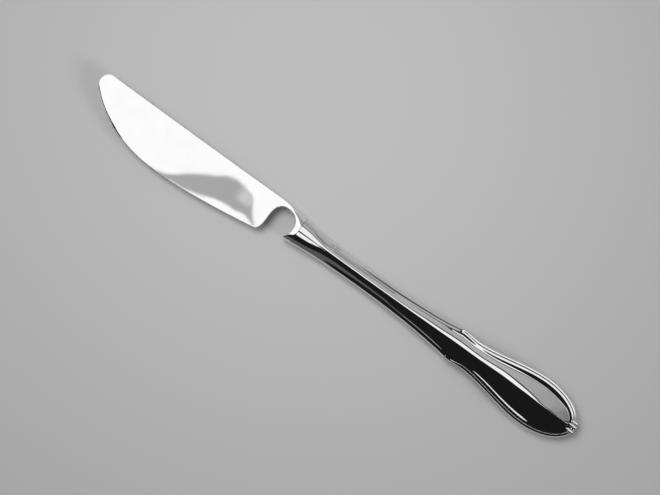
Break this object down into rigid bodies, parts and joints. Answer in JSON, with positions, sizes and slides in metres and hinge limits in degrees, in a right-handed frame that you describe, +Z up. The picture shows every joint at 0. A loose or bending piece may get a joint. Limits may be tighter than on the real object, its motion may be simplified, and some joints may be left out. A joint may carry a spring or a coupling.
{
  "type": "table knife",
  "caption": "Table knife with a forged straight-backed blade, an arched notch behind the heel and a hollow handle of two pressed half shells with a threaded border and a rounded bulb end",
  "frame": {"origin": "under the middle of the knife's length and width, at the surface it lies on", "axes": "+X runs from the blade's tip to the handle's butt, +Y points to the spine side, +Z is up through the thickness of the knife as it lies on its side"},
  "size_m": [0.216, 0.0226, 0.0084],
  "materials": {
    "blade_steel": "mirror-polished stainless steel",
    "handle_steel": "mirror-polished stainless steel",
    "solder": "pale hard solder, dull",
    "filling": "cast resin, matte"
  },
  "bodies": {
    "root": {"blade": "blade_steel", "handle_half_upper": "handle_steel", "handle_half_lower": "handle_steel", "seam_solder": "solder", "bolster_solder": "solder", "handle_filling": "filling"}
  },
  "joints": []
}
